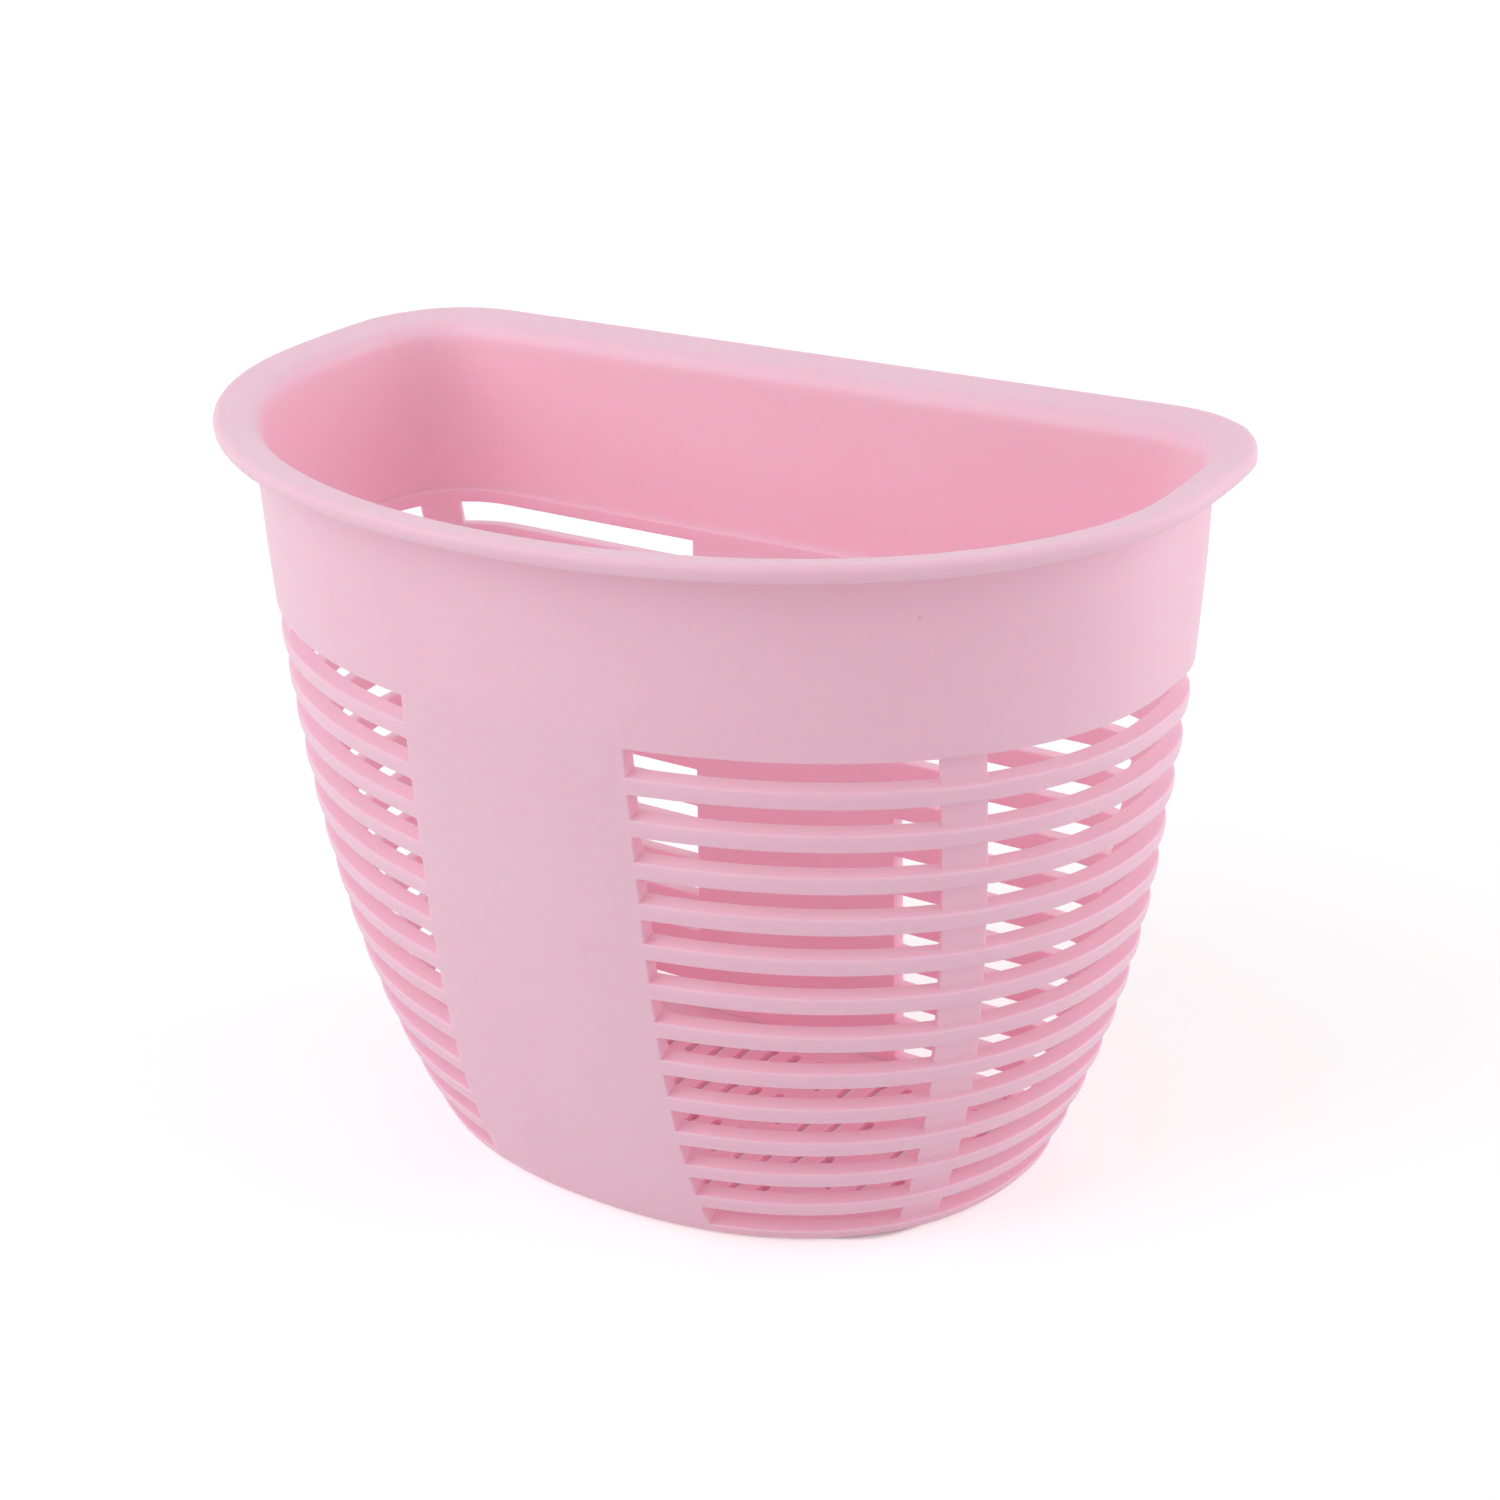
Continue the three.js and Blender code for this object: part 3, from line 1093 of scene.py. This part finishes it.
FLOOR_BEVEL_SHARE = 1 / 6
FLOOR_BEVEL_STEPS = 2
FLOOR_SHARP_ANGLE = math.radians(50)
DRAIN_END_STEPS = 8
LAMP_SIZE = 1.4
LAMP_DISTANCE = 1.5


def finish_piece(piece, material, nodes):
    """Gives a piece its material and its body, and hides the CAD parts that it stands for."""
    piece.data.materials.append(material)
    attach(piece, BODY)
    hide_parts(*nodes)


def plastic_material(context):
    """The basket's plastic, made once."""
    return bpy.data.materials.get("moulded_plastic") or moulded_plastic(context.scene.basket_plastic)


class BASKET_OT_moulding(bpy.types.Operator):
    """Build the basket's wall and rim as one moulding"""

    bl_idname = "basket.moulding"
    bl_label = "Wall and Rim"

    def execute(self, context):
        scene = context.scene
        moulding = Moulding(scene.basket_outline, scene.basket_wall, scene.basket_rim)
        piece = new_mesh("moulded_wall", moulding.points, moulding.faces)
        rounding = piece.modifiers.new("rounding", "SUBSURF")
        rounding.levels = rounding.render_levels = 1
        nodes = [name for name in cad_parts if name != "floor_plate"]
        finish_piece(piece, plastic_material(context), nodes)
        return {"FINISHED"}


class BASKET_OT_floor(bpy.types.Operator):
    """Build the floor with its rows of drain slots"""

    bl_idname = "basket.floor"
    bl_label = "Drain Floor"

    def execute(self, context):
        scene = context.scene
        outline, wall, rim = scene.basket_outline, scene.basket_wall, scene.basket_rim
        level = Level(outline, wall, rim.floor_thickness / 2)
        bevel = rim.floor_thickness * FLOOR_BEVEL_SHARE

        def ring(inset):
            return [spot.point - spot.outward * inset for spot in level.spots]

        curve = bpy.data.curves.new("drain_floor", "CURVE")
        curve.dimensions = "2D"
        curve.fill_mode = "BOTH"
        curve.extrude = rim.floor_thickness / 2 - bevel
        curve.bevel_depth = bevel
        curve.bevel_resolution = FLOOR_BEVEL_STEPS
        curve.offset = -bevel
        add_loop(curve, ring(wall.thickness - wall.edge))
        for slot in drain_slots(ring(wall.thickness + rim.drain_margin), rim):
            add_loop(curve, slot)
        drawn = bpy.data.objects.new("drain_floor_curve", curve)
        mesh = bpy.data.meshes.new_from_object(drawn)
        bpy.data.objects.remove(drawn)
        mesh.name = "drain_floor"
        mesh.transform(Matrix.Translation((0, middle_shift(outline), rim.floor_thickness / 2)))
        mesh.shade_smooth()
        mesh.set_sharp_from_angle(angle=FLOOR_SHARP_ANGLE)
        piece = bpy.data.objects.new("drain_floor", mesh)
        scene.collection.objects.link(piece)
        finish_piece(piece, plastic_material(context), ["floor_plate"])
        return {"FINISHED"}


def add_loop(curve, points):
    """Adds a closed loop of straight stretches to a curve."""
    loop = curve.splines.new("POLY")
    loop.points.add(len(points) - 1)
    for made, point in zip(loop.points, points):
        made.co = (point.x, point.y, 0, 1)
    loop.use_cyclic_u = True


def drain_slots(clear, rim):
    """Loops of the drain slots that fit inside a clear outline, in rows that run across the floor."""
    middle = (min(p.y for p in clear) + max(p.y for p in clear)) / 2
    columns = round(max(p.x for p in clear) / rim.drain_columns)
    rows = round((max(p.y for p in clear) - middle) / rim.drain_rows)
    radius = rim.drain_width / 2
    straight = rim.drain_length / 2 - radius
    half_circle = [math.pi * step / DRAIN_END_STEPS for step in range(DRAIN_END_STEPS + 1)]
    for column in range(-columns, columns + 1):
        for row in range(-2 * rows + 1, 2 * rows, 2):
            centre = Vector((column * rim.drain_columns, middle + row * rim.drain_rows / 2))
            corners = [
                centre + Vector((side * radius, end * rim.drain_length / 2))
                for side in (-1, 1)
                for end in (-1, 1)
            ]
            if all(encloses(clear, corner) for corner in corners):
                yield [
                    centre + Vector((0, end * straight)) + radius * Vector((math.cos(turn), math.sin(turn)))
                    for end, start in ((1, 0), (-1, math.pi))
                    for turn in (start + angle for angle in half_circle)
                ]


def encloses(loop, point):
    """Whether a closed loop goes round a point, by counting the edges that a ray along +X meets."""
    inside = False
    for a, b in zip(loop, loop[1:] + loop[:1]):
        if (a.y > point.y) != (b.y > point.y):
            if a.x + (point.y - a.y) / (b.y - a.y) * (b.x - a.x) > point.x:
                inside = not inside
    return inside


class BASKET_OT_studio(bpy.types.Operator):
    """Set the floor, the lamps, the white surroundings and the camera"""

    bl_idname = "basket.studio"
    bl_label = "Studio"

    def execute(self, context):
        studio = context.scene.basket_studio
        half = studio.floor_size / 2
        corners = [(-half, -half, 0), (half, -half, 0), (half, half, 0), (-half, half, 0)]
        floor = new_mesh("studio_floor", corners, [(0, 1, 2, 3)])
        floor.data.materials.append(studio_floor(studio))
        floor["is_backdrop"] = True

        world = bpy.data.worlds.new("studio_world")
        context.scene.world = world
        board = Board(world)
        pure = opaque((1, 1, 1))
        sky = board.node("Background", {}, {"Color": pure, "Strength": studio.sky})
        white = board.node("Background", {}, {"Color": pure, "Strength": 1.0})
        shader = board.node("MixShader", {}, {0: seen_white(board), 1: sky, 2: white})
        board.node("OutputWorld", {}, {"Surface": shader})

        middle = Vector((0, 0, context.scene.basket_outline.height / 2))
        add_lamp("left_lamp", studio.left_lamp, middle, azimuth=-38, elevation=38)
        add_lamp("right_lamp", studio.right_lamp, middle, azimuth=120, elevation=20)
        add_camera(context.scene, studio)
        context.scene.view_settings.view_transform = "Standard"
        context.scene.cycles.diffuse_bounces = studio.bounces
        context.scene.cycles.max_bounces = studio.bounces
        return {"FINISHED"}


def backward(azimuth, elevation):
    """The direction back from the basket to something that looks at it. Azimuth 0 looks along +Y."""
    level = math.cos(elevation)
    return Vector((math.sin(azimuth) * level, -math.cos(azimuth) * level, math.sin(elevation)))


def add_lamp(name, power, target, azimuth, elevation):
    """A large square lamp that faces the basket. Angles are in degrees."""
    lamp = bpy.data.lights.new(name, "AREA")
    lamp.energy = power
    lamp.size = LAMP_SIZE
    made = bpy.data.objects.new(name, lamp)
    back = backward(math.radians(azimuth), math.radians(elevation))
    made.location = target + back * LAMP_DISTANCE
    made.rotation_mode = "QUATERNION"
    made.rotation_quaternion = (-back).to_track_quat("-Z", "Y")
    bpy.context.scene.collection.objects.link(made)


def add_camera(scene, studio):
    """The camera at the photograph's viewing angle."""
    back = backward(studio.azimuth, studio.elevation)
    right = (-back).cross(Vector((0, 0, 1))).normalized()
    up = back.cross(right)
    across = right * math.cos(studio.roll) + up * math.sin(studio.roll)
    upward = up * math.cos(studio.roll) - right * math.sin(studio.roll)
    camera = bpy.data.cameras.new("camera")
    camera.lens = studio.lens
    made = bpy.data.objects.new("camera", camera)
    turned = Matrix((across, upward, back)).transposed().to_4x4()
    made.matrix_world = Matrix.Translation(Vector(studio.target) + back * studio.distance) @ turned
    scene.collection.objects.link(made)
    scene.camera = made


class BASKET_PT_panel(bpy.types.Panel):
    """Lists the basket's pieces, sizes and finishes"""

    bl_idname = "BASKET_PT_panel"
    bl_label = "Slotted Basket"
    bl_space_type = "VIEW_3D"
    bl_region_type = "UI"
    bl_category = "Basket"

    def draw(self, context):
        for operator in OPERATORS:
            self.layout.operator(operator.bl_idname)
        for name, group in GROUPS.items():
            box = self.layout.box()
            box.label(text=group.__doc__)
            for prop in group.__annotations__:
                box.prop(getattr(context.scene, name), prop)


OPERATORS = (BASKET_OT_moulding, BASKET_OT_floor, BASKET_OT_studio)
GROUPS = {
    "basket_outline": BasketOutline,
    "basket_wall": BasketWall,
    "basket_rim": BasketRim,
    "basket_plastic": BasketPlastic,
    "basket_studio": BasketStudio,
}


def register():
    for cls in (*GROUPS.values(), *OPERATORS, BASKET_PT_panel):
        bpy.utils.register_class(cls)
    for name, group in GROUPS.items():
        setattr(bpy.types.Scene, name, PointerProperty(type=group))


def unregister():
    for name in GROUPS:
        delattr(bpy.types.Scene, name)
    for cls in (BASKET_PT_panel, *OPERATORS, *GROUPS.values()):
        bpy.utils.unregister_class(cls)


def main():
    """Builds everything, and works out the box of the CAD model and that of the built scene."""
    register()
    bpy.ops.basket.moulding()
    bpy.ops.basket.floor()
    bpy.ops.basket.studio()
    boxes = {"cad": CAD_BOX, "visual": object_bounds()}
    {name: [list(corner) for corner in box] for name, box in boxes.items()}


if __name__ == "__main__":
    main()
